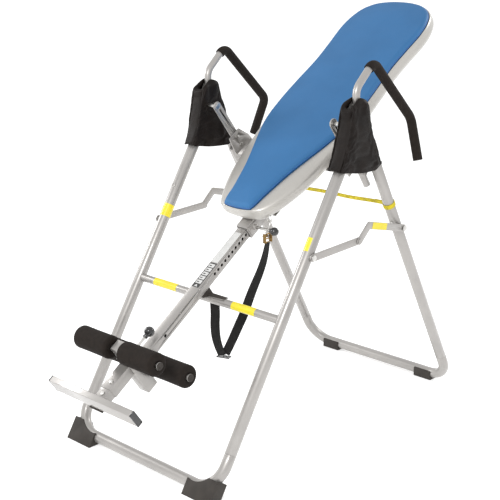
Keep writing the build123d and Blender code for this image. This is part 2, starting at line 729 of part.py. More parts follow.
# ---- assembly --------------------------------------------------------------------------------
NODES = {}
for label, side in (("L", -1), ("R", 1)):
    NODES["front_leg_" + label] = front_leg(side)
    NODES["hinge_cover_" + label] = hinge_cover(side)
    NODES["handle_" + label] = handle(side)
    NODES["grip_" + label] = grip(side)
    NODES["rear_leg_" + label] = rear_leg(side)
    NODES["link_front_" + label] = link_front(side)
    NODES["link_rear_" + label] = Compound(children=[link_rear(side), link_rivet(side)])
    NODES["roller_front_" + label] = roller(side, AXLE_FRONT)
    NODES["roller_rear_" + label] = roller(side, AXLE_REAR)
PAIRS = {
    "front_feet": front_foot, "rear_feet": rear_foot, "front_hinges": front_hinge,
    "rear_hinges": rear_hinge, "hinge_posts": hinge_post, "pivot_bushes": pivot_bush,
    "bed_arms": bed_arm, "pivot_pins": pivot_pin, "platform_caps": platform_cap,
}
for name, maker in PAIRS.items():
    NODES[name] = both(maker)
BOLTS = {"front_frame_bolts": (handle_bolt, front_link_bolt),
         "rear_frame_bolts": (apex_bolt, rear_link_bolt)}
for name, makers in BOLTS.items():
    NODES[name] = Compound(children=[maker(side) for maker in makers for side in (-1, 1)])
NODES["front_floor_tube"] = floor_tube(front_at)
NODES["rear_floor_tube"] = floor_tube(rear_at)
NODES["crossbar"] = crossbar()
NODES["shaft_rest"] = shaft_rest()
NODES["strap_anchor"] = strap_anchor()
NODES["tie_strap"] = tie_strap()
NODES["bed_cushion"] = bed_cushion()
NODES["bed_shell"] = bed_shell()
NODES["bed_bracket"] = bed_bracket()
NODES["bed_bolts"] = bed_bolts()
NODES["shaft_sleeve"] = shaft_sleeve()
NODES["sleeve_liner"] = sleeve_liner()
NODES["height_pin"] = height_pin()
NODES["height_knob"] = height_knob()
NODES["tether_ring"] = tether_ring()
NODES["main_shaft"] = main_shaft()
NODES["cross_sleeve"] = cross_sleeve()
NODES["foot_stem"] = foot_stem()
NODES["platform_stem"] = platform_stem()
NODES["stem_bolts"] = stem_bolts()
NODES["foot_platform"] = foot_platform()
NODES["platform_pad"] = platform_pad()
NODES["rear_axle"] = rear_axle()
NODES["ankle_bar"] = ankle_bar()
NODES["front_axle"] = axle(AXLE_FRONT)
NODES["pull_rod"] = pull_rod()
NODES["pull_knob"] = pull_knob()
NODES["tether_low"] = tangent_pipe(STRAP_LOW, STRAP_R)
NODES["tether_high"] = tangent_pipe(STRAP_HIGH, STRAP_R)
NODES["tether_slider"] = tether_slider()
NODES["tether_buckle"] = tether_buckle()

CORD_NODES = ["tether_low", "tether_high", "tether_slider", "tether_buckle"]
boxes = [shape.bounding_box() for name, shape in NODES.items() if name not in CORD_NODES]
Y_SHIFT = -(min(b.min.Y for b in boxes) + max(b.max.Y for b in boxes)) / 2

for name, shape in NODES.items():
    export_step(Pos(0, Y_SHIFT, 0) * shape, "parts/" + name + ".step")
print(len(NODES), "nodes, moved by", round(Y_SHIFT, 2))
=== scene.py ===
"""Looks of the folding inversion table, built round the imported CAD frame.  Metres throughout."""
import json
import math

import bpy
import bmesh
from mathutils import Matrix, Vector, noise


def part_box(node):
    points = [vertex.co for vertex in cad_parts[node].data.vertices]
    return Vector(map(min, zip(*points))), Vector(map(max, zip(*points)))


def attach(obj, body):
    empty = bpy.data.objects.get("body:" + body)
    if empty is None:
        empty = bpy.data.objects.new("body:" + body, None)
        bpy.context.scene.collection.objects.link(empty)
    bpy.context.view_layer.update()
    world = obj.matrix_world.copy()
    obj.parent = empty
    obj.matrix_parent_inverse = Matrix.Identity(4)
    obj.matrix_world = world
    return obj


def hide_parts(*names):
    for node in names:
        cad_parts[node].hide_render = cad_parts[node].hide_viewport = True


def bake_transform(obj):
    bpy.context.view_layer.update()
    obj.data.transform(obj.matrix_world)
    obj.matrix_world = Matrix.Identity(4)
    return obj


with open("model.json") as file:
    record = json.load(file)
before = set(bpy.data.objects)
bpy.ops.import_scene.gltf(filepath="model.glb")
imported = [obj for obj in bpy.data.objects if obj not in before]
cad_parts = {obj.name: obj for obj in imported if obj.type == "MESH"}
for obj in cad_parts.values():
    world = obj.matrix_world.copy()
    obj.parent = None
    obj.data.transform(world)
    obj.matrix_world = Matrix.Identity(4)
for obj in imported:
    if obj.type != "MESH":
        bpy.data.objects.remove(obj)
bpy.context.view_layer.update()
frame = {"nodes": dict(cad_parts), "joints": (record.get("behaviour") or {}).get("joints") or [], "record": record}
JOINTS = {joint["name"]: joint for joint in frame["joints"]}

# ---- places -------------------------------------------------------------------------------------
PIVOT = Vector(JOINTS["bed_tilt"]["pos_m"])
APEX = Vector(JOINTS["fold"]["pos_m"])
Y0 = PIVOT.y - 0.62298               # layout y of 0 is the front floor tube
TILT = math.radians(34.9)
S, C = math.sin(TILT), math.cos(TILT)
BED_Y, BED_Z = Y0 + 0.618, 0.925     # where u = 0 and n = 0 on the bed
LEG_X, LEG_R = 0.340, 0.019
FLOOR_TUBE_Z = 0.0245
REAR_Y = Y0 + 1.260
SHAFT_N, SHAFT = -0.106, 0.036
AXLE_FRONT, AXLE_REAR = (-0.860, -0.005), (-0.801, -0.139)
SIDES = (("L", -1), ("R", 1))


def lay(x, y, z):
    """Row-frame point from a layout point in millimetres."""
    return Vector((x / 1000, Y0 + y / 1000, z / 1000))


def bed(x, u, n):
    """Row-frame point from width, length along the bed and height above its rim plane."""
    return Vector((x, BED_Y + u * C - n * S, BED_Z + u * S + n * C))


def along(y_foot, s, x=0.0):
    """Point s metres up a leg line from a floor tube to the apex."""
    foot = Vector((x, y_foot, FLOOR_TUBE_Z))
    return foot + (Vector((x, APEX.y, APEX.z)) - foot).normalized() * s


# ---- camera, lights, floor ----------------------------------------------------------------------
def camera():
    data = bpy.data.cameras.new("camera")
    data.lens, data.sensor_width = 79.79, 36.0
    cam = bpy.data.objects.new("camera", data)
    cam.location = PIVOT + Vector((2.5441, -2.7606, 0.6073))
    cam.rotation_euler = (math.radians(90 - 16.153), math.radians(0.18), math.radians(43.80))
    bpy.context.scene.collection.objects.link(cam)
    bpy.context.scene.camera = cam


def area_light(name, place, target, size, watts):
    data = bpy.data.lights.new(name, "AREA")
    data.shape, data.size, data.energy = "DISK", size, watts
    light = bpy.data.objects.new(name, data)
    light.location = place
    aim = Vector(target) - Vector(place)
    light.rotation_euler = aim.to_track_quat("-Z", "Y").to_euler()
    bpy.context.scene.collection.objects.link(light)


def studio():
    world = bpy.data.worlds.new("studio")
    bpy.context.scene.world = world
    world.use_nodes = True
    back = world.node_tree.nodes["Background"]
    back.inputs["Color"].default_value = (1.0, 1.0, 1.0, 1)
    back.inputs["Strength"].default_value = 1.0
    bpy.context.scene.view_settings.view_transform = "Standard"
    area_light("key", (1.2, -3.2, 2.6), (0, 0, 0.6), 0.7, 70)
    area_light("fill", (-3.0, -1.2, 1.8), (0, 0, 0.7), 0.9, 30)
    area_light("rim", (1.0, 3.0, 2.6), (0, 0, 0.8), 0.9, 35)
    mesh = bpy.data.meshes.new("floor")
    side = 60.0                          # far enough for its edge not to show
    mesh.from_pydata([(-side, -side, 0), (side, -side, 0), (side, side, 0), (-side, side, 0)],
                     [], [(0, 1, 2, 3)])
    floor = bpy.data.objects.new("floor", mesh)
    floor.location.z = -0.0004
    bpy.context.scene.collection.objects.link(floor)
    paper = Material("floor", (0.80, 0.80, 0.80), 0.9, Emission_Color=(1, 1, 1, 1),
                     Emission_Strength=0.42)
    floor.data.materials.append(paper.material)


# ---- materials ----------------------------------------------------------------------------------
class Material:
    """Principled material with helpers that add procedural colour change and bump."""

    def __init__(self, name, colour, rough, metal=0.0, **sockets):
        self.material = bpy.data.materials.new(name)
        self.material.use_nodes = True
        self.tree = self.material.node_tree
        self.shader = self.tree.nodes["Principled BSDF"]
        self.colour = colour
        self.rough = rough
        self.shader.inputs["Base Color"].default_value = (*colour, 1)
        self.shader.inputs["Roughness"].default_value = rough
        self.shader.inputs["Metallic"].default_value = metal
        for socket, value in sockets.items():
            self.shader.inputs[socket.replace("_", " ")].default_value = value
        self.place = self.tree.nodes.new("ShaderNodeTexCoord")
        self.height = None

    def node(self, kind, **sockets):
        made = self.tree.nodes.new(kind)
        for socket, value in sockets.items():
            made.inputs[socket.replace("_", " ")].default_value = value
        return made

    def link(self, a, b):
        self.tree.links.new(a, b)

    def noise(self, scale, detail=4.0, stretch=(1, 1, 1)):
        mapping = self.node("ShaderNodeMapping", Scale=stretch)
        texture = self.node("ShaderNodeTexNoise", Scale=scale, Detail=detail)
        self.link(self.place.outputs["Object"], mapping.inputs["Vector"])
        self.link(mapping.outputs["Vector"], texture.inputs["Vector"])
        return texture.outputs["Fac"]

    def cells(self, scale):
        texture = self.node("ShaderNodeTexVoronoi", Scale=scale)
        self.link(self.place.outputs["Object"], texture.inputs["Vector"])
        return texture.outputs["Distance"]

    def weave(self, scale):
        """Two crossed sets of ribs."""
        ribs = []
        for direction in ("X", "Z"):
            wave = self.node("ShaderNodeTexWave", Scale=scale, Distortion=0.4)
            wave.bands_direction = direction
            self.link(self.place.outputs["Object"], wave.inputs["Vector"])
            ribs.append(wave.outputs["Fac"])
        top = self.node("ShaderNodeMath")
        top.operation = "MAXIMUM"
        self.link(ribs[0], top.inputs[0])
        self.link(ribs[1], top.inputs[1])
        return top.outputs["Value"]

    def spread(self, fac, amount, low=0.35, high=0.65):
        """The colour goes from darker to lighter by amount with fac."""
        ramp = self.tree.nodes.new("ShaderNodeValToRGB")
        ramp.color_ramp.elements[0].position = low
        ramp.color_ramp.elements[1].position = high
        ramp.color_ramp.elements[0].color = (*[c * (1 - amount) for c in self.colour], 1)
        ramp.color_ramp.elements[1].color = (*[min(1, c * (1 + amount)) for c in self.colour], 1)
        self.link(fac, ramp.inputs["Fac"])
        self.link(ramp.outputs["Color"], self.shader.inputs["Base Color"])
        return self

    def gloss(self, fac, low, high):
        spread = self.node("ShaderNodeMapRange", To_Min=low, To_Max=high)
        self.link(fac, spread.inputs["Value"])
        self.link(spread.outputs["Result"], self.shader.inputs["Roughness"])
        return self

    def bump(self, fac, strength, distance):
        made = self.node("ShaderNodeBump", Strength=strength, Distance=distance)
        self.link(fac, made.inputs["Height"])
        if self.height:
            self.link(self.height, made.inputs["Normal"])
        self.height = made.outputs["Normal"]
        self.link(self.height, self.shader.inputs["Normal"])
        return self


def frame_paint():
    m = Material("silver_paint", (0.35, 0.335, 0.32), 0.40, 0.60, Coat_Weight=0.5,
                 Coat_Roughness=0.12)
    m.spread(m.noise(9.0), 0.06).gloss(m.noise(60.0), 0.36, 0.48)
    return m.bump(m.noise(420.0, 2), 0.06, 0.0004).material


def bare_steel():
    m = Material("zinc_steel", (0.60, 0.59, 0.57), 0.30, 1.0)
    m.spread(m.noise(50.0), 0.15).gloss(m.noise(160.0), 0.22, 0.40)
    return m.bump(m.noise(700.0, 2), 0.1, 0.0003).material


def cushion_vinyl():
    m = Material("blue_vinyl", (0.030, 0.127, 0.290), 0.50, 0.0, Specular_IOR_Level=0.25)
    m.spread(m.noise(6.0), 0.05).gloss(m.noise(25.0), 0.46, 0.58)
    m.bump(m.cells(520.0), 0.10, 0.0004)
    return m.bump(m.noise(14.0, 3), 0.10, 0.004).material


def piping_vinyl():
    m = Material("blue_piping", (0.018, 0.10, 0.30), 0.5)
    m.spread(m.noise(80.0), 0.12)
    return m.bump(m.cells(700.0), 0.2, 0.0004).material


def shell_plastic():
    m = Material("pearl_plastic", (0.42, 0.405, 0.378), 0.32, 0.35, Coat_Weight=0.5,
                 Coat_Roughness=0.2)
    m.spread(m.noise(5.0), 0.04).gloss(m.noise(12.0), 0.30, 0.38)
    return m.bump(m.noise(8.0, 2), 0.04, 0.002).material


def cover_nylon():
    m = Material("black_nylon", (0.0080, 0.0056, 0.0046), 0.46, 0.0, Specular_IOR_Level=0.13)
    m.spread(m.noise(22.0), 0.25).gloss(m.noise(35.0), 0.36, 0.58)
    m.bump(m.noise(30.0, 4), 0.35, 0.005)
    return m.bump(m.weave(480.0), 0.25, 0.0004).material


def foam():
    m = Material("dark_foam", (0.0125, 0.0090, 0.0070), 0.80, 0.0, Specular_IOR_Level=0.18)
    m.spread(m.noise(70.0), 0.15)
    m.bump(m.cells(620.0), 0.35, 0.0006)
    return m.bump(m.noise(30.0, 3), 0.2, 0.002).material


def rubber():
    m = Material("charcoal_rubber", (0.032, 0.027, 0.023), 0.62, 0.0, Specular_IOR_Level=0.3)
    m.spread(m.noise(30.0), 0.18).gloss(m.noise(60.0), 0.5, 0.72)
    return m.bump(m.noise(500.0, 3), 0.3, 0.0004).material


def black_plastic():
    m = Material("black_plastic", (0.018, 0.018, 0.019), 0.20, 0.0, Coat_Weight=0.4)
    m.spread(m.noise(40.0), 0.2)
    return m.bump(m.noise(260.0, 2), 0.04, 0.0003).material


def webbing(name, colour):
    m = Material(name, colour, 0.62, 0.0, Specular_IOR_Level=0.2)
    m.spread(m.noise(60.0), 0.22)
    m.bump(m.weave(300.0), 0.7, 0.0008)
    return m.bump(m.noise(900.0, 2), 0.3, 0.0004).material


def brass():
    m = Material("brass_buckle", (0.25, 0.155, 0.055), 0.34, 0.9)
    m.spread(m.noise(90.0), 0.2).gloss(m.noise(200.0), 0.25, 0.42)
    return m.bump(m.noise(400.0, 2), 0.15, 0.0003).material


def label(name, colour):
    m = Material(name, colour, 0.4, 0.0, Coat_Weight=0.3)
    m.spread(m.noise(45.0), 0.06)
    return m.bump(m.noise(300.0, 2), 0.05, 0.0002).material


PAINT, STEEL = frame_paint(), bare_steel()
VINYL, PIPING, SHELL = cushion_vinyl(), piping_vinyl(), shell_plastic()
NYLON, FOAM, RUBBER, PLASTIC = cover_nylon(), foam(), rubber(), black_plastic()
YELLOW_WEB = webbing("yellow_webbing", (0.58, 0.47, 0.022))
BLACK_WEB = webbing("black_webbing", (0.010, 0.0095, 0.009))
BRASS = brass()
YELLOW = label("yellow_label", (0.68, 0.57, 0.012))
WHITE = label("white_label", (0.52, 0.52, 0.51))
INK = label("black_print", (0.012, 0.012, 0.012))

SLOT_MATERIAL = {
    "frame_paint": PAINT, "shaft_paint": PAINT, "dark_tube": PAINT, "steel": STEEL,
    "cover_fabric": NYLON, "grip_foam": FOAM, "roller_foam": FOAM, "foot_rubber": RUBBER,
    "black_plastic": PLASTIC, "yellow_webbing": YELLOW_WEB, "black_webbing": BLACK_WEB,
    "buckle_brass": BRASS, "cushion_vinyl": VINYL, "shell_plastic": SHELL,
}


FLANGE_THICK, BLOCK_HALF = 0.005, 0.0175


def paint_flange(rest):
    """The flange plate of the shaft's rest is painted steel; only its block is rubber."""
    rest.data.materials.append(PAINT)
    low = min((rest.matrix_world @ v.co).z for v in rest.data.vertices)
    for polygon in rest.data.polygons:
        centre = rest.matrix_world @ polygon.center
        beside = abs(centre.x) > BLOCK_HALF or polygon.normal.z < -0.9
        if centre.z < low + FLANGE_THICK and beside:
            polygon.material_index = 1


def finish_cad_nodes():
    """Every carried-over CAD node gets its material, softened edges and smooth shading."""
    slots = {row["node"]: row["material_slot"] for row in frame["record"]["subparts"]}
    for name, node in frame["nodes"].items():
        node.data.materials.clear()
        node.data.materials.append(SLOT_MATERIAL[slots[name]])
        for polygon in node.data.polygons:
            polygon.use_smooth = True
        if name == "shaft_rest":
            paint_flange(node)
        weld = node.modifiers.new("weld", "WELD")
        weld.merge_threshold = 0.00002
        bevel = node.modifiers.new("edges", "BEVEL")
        bevel.width, bevel.segments = 0.0009, 2
        bevel.limit_method, bevel.angle_limit = "ANGLE", math.radians(38)
        bevel.harden_normals = True


# ---- mesh helpers -------------------------------------------------------------------------------
def piece(name, verts, faces, material, body, smooth=True, replaces=()):
    mesh = bpy.data.meshes.new(name)
    mesh.from_pydata([tuple(v) for v in verts], [], faces)
    bm = bmesh.new()
    bm.from_mesh(mesh)
    bmesh.ops.remove_doubles(bm, verts=bm.verts, dist=1e-6)
    bmesh.ops.recalc_face_normals(bm, faces=bm.faces)
    bm.to_mesh(mesh)
    bm.free()
    made = bpy.data.objects.new(name, mesh)
    bpy.context.scene.collection.objects.link(made)
    mesh.materials.append(material)
    for polygon in mesh.polygons:
        polygon.use_smooth = smooth
    if body:
        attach(made, body)
    if replaces:
        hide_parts(*replaces)
    return made


def sharp(made, degrees=35):
    """Keeps edges sharper than this crisp under smooth shading."""
    made.data.set_sharp_from_angle(angle=math.radians(degrees))
    return made


def grid_faces(rows, columns, closed_rows=False):
    """Quads between rows of points, each row a closed ring."""
    faces = []
    for i in range(rows if closed_rows else rows - 1):
        for j in range(columns):
            a, b = i * columns, ((i + 1) % rows) * columns
            k = (j + 1) % columns
            faces.append((a + j, a + k, b + k, b + j))
    return faces


def frame_about(axis):
    """The unit axis and two directions square to it."""
    axis = axis.normalized()
    side = axis.cross(Vector((0, 0, 1)))
    if side.length < 1e-3:
        side = axis.cross(Vector((0, 1, 0)))
    side.normalize()
    return axis, side, axis.cross(side).normalized()


def lathe(name, start, axis, profile, material, body, steps=48, replaces=()):
    """Closed turned shape from (distance along, radius) pairs, with its ends on the axis."""
    axis, side, up = frame_about(axis)
    verts = []
    for t, r in profile:
        for k in range(steps):
            a = 2 * math.pi * k / steps
            verts.append(start + axis * t + (side * math.cos(a) + up * math.sin(a)) * max(r, 1e-7))
    faces = grid_faces(len(profile), steps)
    return sharp(piece(name, verts, faces, material, body, replaces=replaces), 50)


def sweep(points, section, up_hint=Vector((1, 0, 0)), closed=False):
    """Verts and faces of a closed section, (across, through) pairs, swept along points."""
    verts, count = [], len(points)
    for i, p in enumerate(points):
        before = points[i - 1] if (i or closed) else p
        after = points[(i + 1) % count] if (i + 1 < count or closed) else p
        way = (after - before).normalized()
        across = (up_hint - way * up_hint.dot(way)).normalized()
        through = way.cross(across)
        verts += [p + across * a + through * b for a, b in section]
    n = len(section)
    faces = grid_faces(count, n, closed_rows=closed)
    if not closed:
        faces += [tuple(range(n)), tuple(range((count - 1) * n, count * n))]
    return verts, faces


def rounded_strip(width, thick, edge=4):
    """Section of webbing: flat with round edges."""
    half, r = width / 2 - thick / 2, thick / 2
    right = [(half + r * math.sin(a), r * math.cos(a)) for a in
             [math.pi * k / edge for k in range(edge + 1)]]
    left = [(-x, -y) for x, y in right]
    middle = [half * k / 3 for k in (2, 1, 0, -1, -2)]
    return right + [(x, -r) for x in middle] + left + [(-x, r) for x in middle]


def circle(radius, steps=16):
    return [(radius * math.cos(2 * math.pi * k / steps), radius * math.sin(2 * math.pi * k / steps))
            for k in range(steps)]


def arc_points(centre, a, b, radius, start, end, steps):
    """Points on an arc in the plane of unit vectors a and b."""
    return [centre + (a * math.cos(t) + b * math.sin(t)) * radius
            for t in [start + (end - start) * k / steps for k in range(steps + 1)]]


def join(name, parts, material, body, replaces=()):
    """One piece from several (verts, faces) parts."""
    verts, faces = [], []
    for v, f in parts:
        base = len(verts)
        verts += v
        faces += [tuple(i + base for i in face) for face in f]
    return sharp(piece(name, verts, faces, material, body, replaces=replaces))


# ---- tether -------------------------------------------------------------------------------------
WEB_WIDTH, WEB_THICK = 0.032, 0.0022
TWIST_ANCHOR, TWIST_LOW, TWIST_TOP = 0.9, 0.35, 1.65   # radians, at the two ends and the slide
NARROW_FROM = 0.8                    # share of the route where a strap starts to gather
STRAP_LOW = [(16, 322, 491), (16, 325, 452), (14, 323.5, 410), (15, 326, 365), (18, 337, 322),
             (24, 346, 296)]
STRAP_HIGH = [(30, 357, 299), (38, 378, 338), (43, 405, 386), (48, 431, 430), (54, 448, 477),
              (64, 463, 524), (74, 480, 568), (83, 492, 613), (88, 499, 652), (90, 502, 676)]


def spline_line(route):
    """Points along the smooth NURBS curve that a route controls."""
    curve = bpy.data.curves.new("route", "CURVE")
    curve.dimensions = "3D"
    spline = curve.splines.new("NURBS")
    spline.points.add(len(route) - 1)
    for point, place in zip(spline.points, route):
        point.co = (*lay(*place), 1)
    spline.order_u = 3
    spline.use_endpoint_u = True
    spline.resolution_u = 8
    holder = bpy.data.objects.new("route", curve)
    bpy.context.scene.collection.objects.link(holder)
    mesh = bpy.data.meshes.new_from_object(holder)
    line = [v.co.copy() for v in mesh.vertices]
    bpy.data.objects.remove(holder)
    return line


def tether(name, route, twist, narrow=0.0):
    """Webbing ribbon along a route.  Its broad face turns through twist, start to end, and its
    far end is narrower by a share."""
    line = spline_line(route)
    section = rounded_strip(WEB_WIDTH, WEB_THICK)
    verts, last = [], len(line) - 1
    for i, p in enumerate(line):
        way = (line[min(i + 1, last)] - line[max(i - 1, 0)]).normalized()
        turn = twist[0] + (twist[1] - twist[0]) * i / last
        across = Vector((math.cos(turn), math.sin(turn), 0))
        across = (across - way * across.dot(way)).normalized()
        through = way.cross(across)
        wide = 1 - narrow * max(0.0, i / last - NARROW_FROM) / (1 - NARROW_FROM)
        verts += [p + across * a * wide + through * b for a, b in section]
    n = len(section)
    faces = grid_faces(len(line), n)
    faces += [tuple(range(n)), tuple(range(last * n, (last + 1) * n))]
    made = piece(name, verts, faces, BLACK_WEB, None, replaces=[name])
    made.name = name + "_webbing"
    return made


def tethers():
    low = tether("tether_low", STRAP_LOW, (TWIST_ANCHOR, TWIST_LOW))
    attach(low, "front_frame")
    high = tether("tether_high", STRAP_HIGH, (TWIST_LOW, TWIST_TOP),
                  narrow=0.16)
    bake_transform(high)


# ---- bed ----------------------------------------------------------------------------------------
CUSHION = [(-214, 52), (-206, 61), (-188, 66), (-150, 72), (-100, 83), (-30, 101),
           (50, 129), (120, 155), (200, 177), (300, 183), (400, 180), (520, 172),
           (620, 176), (710, 182), (775, 174), (825, 152), (860, 110), (876, 55)]
SHELL_RIM = [(-219, 60), (-212, 82), (-198, 101), (-160, 125), (-100, 150), (-40, 168), (40, 182),
             (130, 190), (230, 194), (320, 192), (420, 186), (520, 179), (620, 182), (715, 188),
             (780, 180), (832, 157), (868, 114), (884, 56)]
SPINE_LOW, SPINE_HIGH = -0.110, 0.770    # the ridge that every ring shrinks towards


def smooth_outline(pairs, step=6):
    """Closed outline in (x, u), metres, by a Catmull-Rom curve through the mirrored pairs."""
    right = [(w / 1000, u / 1000) for u, w in pairs]
    ends = ((0.0, right[0][1] - 0.004), (0.0, right[-1][1] + 0.004))
    ring = [ends[0]] + right + [ends[1]] + [(-x, u) for x, u in reversed(right)]
    count, line = len(ring), []
    for i in range(count):
        p0, p1, p2, p3 = (Vector(ring[(i + k) % count]) for k in (-1, 0, 1, 2))
        for k in range(step):
            t = k / step
            line.append(0.5 * ((2 * p1) + (p2 - p0) * t + (2 * p0 - 5 * p1 + 4 * p2 - p3) * t * t
                               + (3 * p1 - p0 - 3 * p2 + p3) * t * t * t))
    return line


def ring_at(line, inward, height):
    """The outline moved inward by a distance (outward if negative), at a height over the bed."""
    verts = []
    for p in line:
        spine = Vector((0.0, min(max(p.y, SPINE_LOW), SPINE_HIGH)))
        reach = (p - spine).length
        share = min(inward / max(reach, 1e-6), 1.0)
        q = p + (spine - p) * share
        level = height(q, min(inward, reach), reach) if callable(height) else height
        verts.append(bed(q.x, q.y, level))
    return verts


def rings(line, levels):
    verts = []
    for inward, height in levels:
        verts += ring_at(line, inward, height)
    return verts, grid_faces(len(levels), len(line))


CROWN, EDGE_R, EDGE_RISE, SEAM_N = 0.0085, 0.013, 0.0125, -0.008
PIPING_R = 0.0024


def pad_height(q, d, reach):
    """Height of the pad's top: a round edge, a low crown, and faint hollows where it is sewn."""
    edge = min(d / EDGE_R, 1.0)
    rise = math.sqrt(max(0.0, 1 - (1 - edge) ** 2))
    crown = CROWN * (1 - (1 - min(d / max(reach, 1e-6), 1.0)) ** 2)
    ripple = 0.0012 * noise.noise(Vector((q.x * 9, q.y * 5, 3.1)))
    return SEAM_N + EDGE_RISE * rise + crown * edge + ripple * edge


def cushion():
    line = smooth_outline(CUSHION)
    levels = [(0.5, -0.0265), (0.020, -0.0268), (0.006, -0.0265), (0.0015, -0.022),
              (0.0, -0.015), (0.0008, SEAM_N - 0.0008)]
    distances = [0.001, 0.002, 0.0035, 0.0055, 0.008, 0.0115, 0.016, 0.023, 0.032, 0.044, 0.058,
                 0.075, 0.095, 0.118, 0.142, 0.165, 0.5]
    levels += [(d, pad_height) for d in distances]
    verts, faces = rings(line, levels)
    made = piece("cushion_pad", verts, faces, VINYL, "bed",
                 replaces=["bed_cushion"])
    seam = ring_at(line, 0.0012, SEAM_N + 0.001)
    verts, faces = sweep(seam, circle(PIPING_R, 8), up_hint=Vector((0, -S, C)), closed=True)
    piece("cushion_piping", verts, faces, PIPING, "bed")


PAD_GAP = 0.0024                         # between the pad and the shell's border
RIM_N, BORDER_RISE = -0.031, 0.0195      # height of the rim, and of the border's crown over it
BORDER_ROUND = 2.6
BORDER_SHARES = (0.03, 0.12, 0.25, 0.40, 0.55, 0.68, 0.80, 0.90, 0.97)


def shell_border(inner, rim, share):
    """Ring of the convex border, at a share of the way from the pad's edge to the rim."""
    verts = []
    for p, q in zip(inner, rim):
        place = p + (q - p) * (PAD_GAP / max((q - p).length, PAD_GAP) * (1 - share) + share)
        height = RIM_N + BORDER_RISE * math.sqrt(1 - share ** BORDER_ROUND)
        verts.append(bed(place.x, place.y, height))
    return verts


def shell():
    """Moulded tray under the pad: flat seat, convex border, rounded side, hollow back."""
    rim, inner = smooth_outline(SHELL_RIM), smooth_outline(CUSHION)
    base = -0.0765
    levels_out = [(0.0, RIM_N), (-0.0015, -0.039), (0.0005, -0.049), (0.006, -0.059),
                  (0.014, -0.067), (0.023, -0.0730), (0.0295, -0.0760), (0.034, base),
                  (0.040, base), (0.042, -0.074), (0.042, -0.060), (0.5, -0.058)]
    verts = ring_at(inner, 0.5, -0.027) + ring_at(inner, 0.010, -0.0272)
    verts += ring_at(inner, -0.0022, -0.0262) + ring_at(inner, -PAD_GAP, -0.0130)
    for share in BORDER_SHARES:
        verts += shell_border(inner, rim, share)
    for inward, height in levels_out:
        verts += ring_at(rim, inward, height)
    faces = grid_faces(len(verts) // len(rim), len(rim))
    piece("bed_shell_tray", verts, faces, SHELL, "bed", replaces=["bed_shell"])


# ---- foam ---------------------------------------------------------------------------------------
def foam_roller(tag, side, at, body, node):
    """Foam sleeve with rolled ends and a shallow waist."""
    inner, outer, radius, bore, round_r = 0.027, 0.187, 0.0378, 0.0095, 0.012
    length = outer - inner
    profile = [(0.004, 0.0), (0.004, bore), (0.002, bore + 0.004), (0.0, bore + 0.010)]
    for k in range(6):
        a = math.pi / 2 * k / 5
        profile.append((round_r * (1 - math.sin(a)), radius - round_r * (1 - math.cos(a))))
    profile = profile[:4] + sorted(profile[4:])
    middle = [(length * t, radius - 0.0006 * math.sin(math.pi * t))
              for t in (0.2, 0.4, 0.5, 0.6, 0.8)]
    back = [(length - t, r) for t, r in reversed(profile)]
    start = bed(side * inner, *at)
    lathe("foam_" + tag, start, Vector((side, 0, 0)), profile + middle + back, FOAM, body,
          replaces=[node])


def axle_caps():
    """Dark push-in cap on both ends of each axle."""
    homes = {node: body for body, nodes in frame["record"]["behaviour"]["bodies"].items()
             for node in nodes}
    profile = [(0.0, 0.0), (0.0, 0.0125), (0.0015, 0.0130), (0.0032, 0.0118), (0.0036, 0.0085),
               (0.0028, 0.0075), (0.0028, 0.0)]
    for node, at in (("front_axle", AXLE_FRONT), ("rear_axle", AXLE_REAR)):
        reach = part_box(node)[1].x
        for letter, side in SIDES:
            lathe(f"{node}_cap_{letter}", bed(side * (reach - 0.0006), *at), Vector((side, 0, 0)),
                  profile, RUBBER, homes[node], steps=32)


def rollers():
    axle_caps()
    for letter, side in SIDES:
        for row, at in (("front", AXLE_FRONT), ("rear", AXLE_REAR)):
            body = f"roller_{row}_{letter}"
            foam_roller(f"{row}_{letter}", side, at, body, body)


# ---- hinge covers -------------------------------------------------------------------------------
COVER_LOW = [(508, 962), (560, 942), (640, 928), (720, 926), (800, 962)]
COVER_HALF = 0.031
HEM_Y, NECK_Y = (530, 784), (592, 682)   # front and back of the cover, layout millimetres
NECK_TOP, NECK_MID = 1173, 650
BOXY = 0.42                              # under 1, and the smaller the squarer the loop
DEEPEST_PUSH = -0.0012                   # folds never reach the hinge plates inside
NECK_TUCKS = ((0.72, 0.003), (0.60, 0.001), (0.56, -0.010))   # shrink and lift
COVER_FOOT, COVER_TALL = 0.93, 0.24      # for the share of the height that a point is at
NECK_HELD, HEM_HELD = 0.93, 0.945        # fixed over this share, and below this z
SIDE_OUT, SIDE_HELD = 0.026, 0.25        # half width past which the sides are partly fixed
HEM_STEPS, RISE_STEPS = 132, 44


def perimeter(centre_y, half_y, half_x, t):
    """Point of a rounded-rectangle loop round a leg, t from 0 to 1."""
    a = 2 * math.pi * t
    x = half_x * math.copysign(abs(math.cos(a)) ** BOXY, math.cos(a))
    y = half_y * math.copysign(abs(math.sin(a)) ** BOXY, math.sin(a))
    return x, centre_y + y


def low_z(y):
    """Height of the hem at a layout y."""
    points = COVER_LOW
    y = min(max(y, points[0][0]), points[-1][0])
    for (y1, z1), (y2, z2) in zip(points, points[1:]):
        if y <= y2:
            return z1 + (z2 - z1) * (y - y1) / (y2 - y1)
    return points[-1][1]


